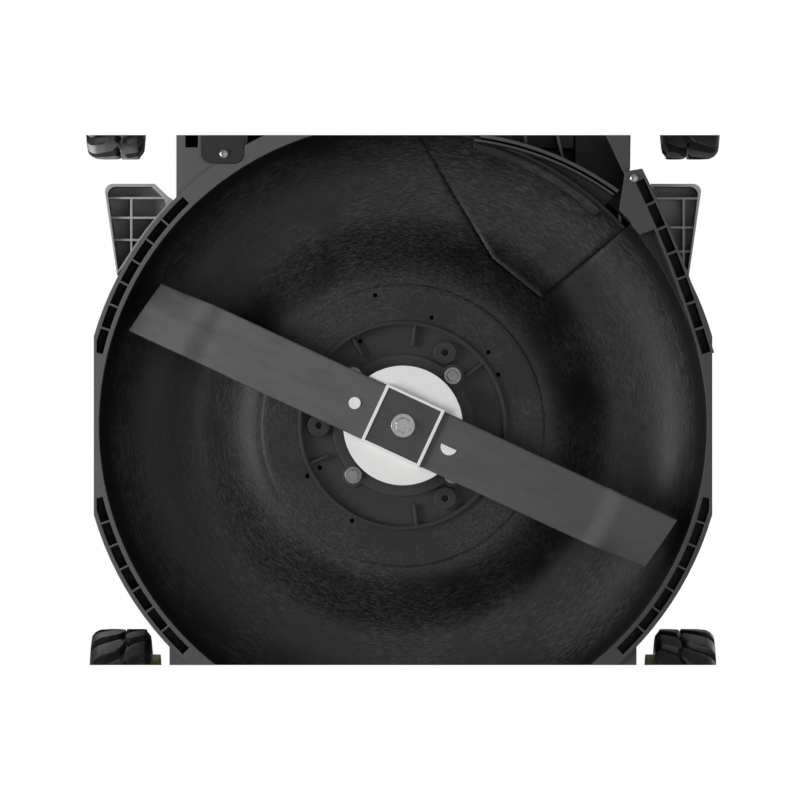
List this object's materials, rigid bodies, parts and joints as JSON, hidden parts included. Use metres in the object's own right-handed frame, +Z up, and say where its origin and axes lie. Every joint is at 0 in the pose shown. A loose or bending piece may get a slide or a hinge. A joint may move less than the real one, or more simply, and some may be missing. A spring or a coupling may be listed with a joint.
{
  "type": "push lawn mower",
  "caption": "Battery push lawn mower with a round moulded cutting deck, single steel blade, cranked height-adjusting axles and a folding, telescoping handle.",
  "frame": {"origin": "on the ground, under the middle of the whole machine with its handle extended", "axes": "+Z up, -Y towards the front of the mower, +Y towards the handle, +X to the operator's left"},
  "size_m": [0.5562, 1.3993, 1.0101],
  "materials": {
    "deck_polymer": "moulded, fine scuffs",
    "cover_polymer": "moulded, satin",
    "fender_polymer": "moulded, matt",
    "lime_polymer": "moulded, satin",
    "white_polymer": "moulded, matt",
    "battery_polymer": "moulded, fine grain",
    "blade_steel": "powder coated, worn edges",
    "zinc_steel": "zinc plated",
    "plate_steel": "phosphated, matt",
    "motor_aluminium": "cast, matt",
    "flange_metal": "cast, black",
    "tyre_rubber": "ribbed tread",
    "flap_rubber": "matt",
    "foam": "closed-cell foam",
    "tube_paint": "black powder coat, satin"
  },
  "bodies": {
    "chassis": {"deck": "deck_polymer", "shroud": "cover_polymer", "fender_left": "fender_polymer", "fender_right": "fender_polymer", "motor_flange": "flange_metal", "motor_can": "motor_aluminium", "motor_bolts": "zinc_steel", "controller": "cover_polymer", "cowl": "cover_polymer", "battery_bay": "cover_polymer", "battery": "battery_polymer", "rear_cover": "deck_polymer", "mulch_plug": "deck_polymer", "door_pin": "zinc_steel", "door_springs": "zinc_steel", "bracket_left": "zinc_steel", "bracket_right": "zinc_steel", "deck_screws": "zinc_steel", "axle_clamps": "zinc_steel", "detent_plate": "tube_paint"},
    "cutter": {"shaft": "zinc_steel", "insulator": "white_polymer", "blade": "blade_steel", "clamp_plate": "plate_steel", "blade_bolt": "zinc_steel"},
    "rear_crank": {"rear_axle": "zinc_steel", "rear_nuts": "zinc_steel", "height_lever": "zinc_steel", "lever_knob": "lime_polymer"},
    "front_crank": {"front_axle": "zinc_steel", "front_nuts": "zinc_steel"},
    "link": {"tie_rod": "zinc_steel"},
    "lid": {"battery_lid": "lime_polymer"},
    "latch": {"battery_latch": "lime_polymer"},
    "key": {"safety_key": "lime_polymer"},
    "door": {"rear_door": "cover_polymer"},
    "flap": {"trailing_shield": "flap_rubber"},
    "lower_frame": {"lower_handle": "tube_paint", "clamp_collars": "cover_polymer"},
    "knob_left": {"fold_knob_left": "cover_polymer"},
    "knob_right": {"fold_knob_right": "cover_polymer"},
    "upper_frame": {"upper_handle": "tube_paint", "foam_grip": "foam", "switch_box": "cover_polymer"},
    "button": {"start_button": "lime_polymer"},
    "clamp_left": {"cam_left": "lime_polymer"},
    "clamp_right": {"cam_right": "lime_polymer"},
    "bail": {"bail_lever": "tube_paint"},
    "wheel_front_left": {"tyre_front_left": "tyre_rubber", "rim_front_left": "lime_polymer", "hubcap_front_left": "cover_polymer"},
    "wheel_front_right": {"tyre_front_right": "tyre_rubber", "rim_front_right": "lime_polymer", "hubcap_front_right": "cover_polymer"},
    "wheel_rear_left": {"tyre_rear_left": "tyre_rubber", "rim_rear_left": "lime_polymer", "hubcap_rear_left": "cover_polymer"},
    "wheel_rear_right": {"tyre_rear_right": "tyre_rubber", "rim_rear_right": "lime_polymer", "hubcap_rear_right": "cover_polymer"}
  },
  "joints": [
    {"name": "blade_spin", "type": "hinge", "parent": "chassis", "child": "cutter", "pos_m": [0, -0.317, 0.065], "axis": [0, 0, 1], "continuous": true},
    {"name": "height_lever", "type": "hinge", "parent": "chassis", "child": "rear_crank", "pos_m": [0, -0.0135, 0.1143], "axis": [1, 0, 0], "range_deg": [-8, 35]},
    {"name": "front_crank_turn", "type": "hinge", "parent": "chassis", "child": "front_crank", "pos_m": [0, -0.6428, 0.1016], "axis": [1, 0, 0], "range_deg": [-8, 35]},
    {"name": "tie_rod_pivot", "type": "hinge", "parent": "rear_crank", "child": "link", "pos_m": [-0.192, -0.0135, 0.1563], "axis": [1, 0, 0], "range_deg": [-35, 8]},
    {"name": "front_left_wheel_spin", "type": "hinge", "parent": "front_crank", "child": "wheel_front_left", "pos_m": [0.2435, -0.5978, 0.1016], "axis": [1, 0, 0], "continuous": true},
    {"name": "front_right_wheel_spin", "type": "hinge", "parent": "front_crank", "child": "wheel_front_right", "pos_m": [-0.2435, -0.5978, 0.1016], "axis": [1, 0, 0], "continuous": true},
    {"name": "rear_left_wheel_spin", "type": "hinge", "parent": "rear_crank", "child": "wheel_rear_left", "pos_m": [0.2488, 0.0315, 0.1143], "axis": [1, 0, 0], "continuous": true},
    {"name": "rear_right_wheel_spin", "type": "hinge", "parent": "rear_crank", "child": "wheel_rear_right", "pos_m": [-0.2488, 0.0315, 0.1143], "axis": [1, 0, 0], "continuous": true},
    {"name": "handle_fold", "type": "hinge", "parent": "chassis", "child": "lower_frame", "pos_m": [0, 0.021, 0.205], "axis": [-1, 0, 0], "range_deg": [-108, 0]},
    {"name": "handle_slide", "type": "slide", "parent": "lower_frame", "child": "upper_frame", "axis": [0, 0.6494, 0.7604], "range_m": [-0.18, 0]},
    {"name": "cam_left_turn", "type": "hinge", "parent": "lower_frame", "child": "clamp_left", "pos_m": [0.207, 0.35676, 0.59813], "axis": [0, -0.7604, 0.6494], "range_deg": [0, 100]},
    {"name": "cam_right_turn", "type": "hinge", "parent": "lower_frame", "child": "clamp_right", "pos_m": [-0.207, 0.35676, 0.59813], "axis": [0, 0.7604, -0.6494], "range_deg": [0, 100]},
    {"name": "fold_knob_left_turn", "type": "hinge", "parent": "chassis", "child": "knob_left", "pos_m": [0.205, 0.021, 0.205], "axis": [1, 0, 0], "continuous": true},
    {"name": "fold_knob_right_turn", "type": "hinge", "parent": "chassis", "child": "knob_right", "pos_m": [-0.205, 0.021, 0.205], "axis": [1, 0, 0], "continuous": true},
    {"name": "bail_pull", "type": "hinge", "parent": "upper_frame", "child": "bail", "pos_m": [0, 0.60176, 0.91886], "axis": [-1, 0, 0], "range_deg": [0, 20], "stiffness_Nm_per_rad": 0.6, "springref_deg": -28.65},
    {"name": "start_press", "type": "slide", "parent": "upper_frame", "child": "button", "axis": [0, 0.7604, -0.6494], "range_m": [0, 0.0035], "stiffness_N_per_m": 400, "springref_m": -0.002},
    {"name": "lid_open", "type": "hinge", "parent": "chassis", "child": "lid", "pos_m": [0, -0.273, 0.268], "axis": [1, 0, 0], "range_deg": [0, 75]},
    {"name": "latch_slide", "type": "slide", "parent": "chassis", "child": "latch", "axis": [0, -1, 0], "range_m": [0, 0.004], "stiffness_N_per_m": 300, "springref_m": -0.002},
    {"name": "key_pull", "type": "slide", "parent": "chassis", "child": "key", "axis": [0, 0, 1], "range_m": [0, 0.01]},
    {"name": "door_open", "type": "hinge", "parent": "chassis", "child": "door", "pos_m": [0, 0.025, 0.242], "axis": [1, 0, 0], "range_deg": [0, 75], "stiffness_Nm_per_rad": 0.3, "springref_deg": -45.84},
    {"name": "flap_swing", "type": "hinge", "parent": "chassis", "child": "flap", "pos_m": [0, 0.028, 0.092], "axis": [1, 0, 0], "range_deg": [-5, 70]}
  ],
  "couplings": [
    {"joint": "front_crank_turn", "follows": "height_lever", "ratio": 1},
    {"joint": "tie_rod_pivot", "follows": "height_lever", "ratio": -1}
  ]
}
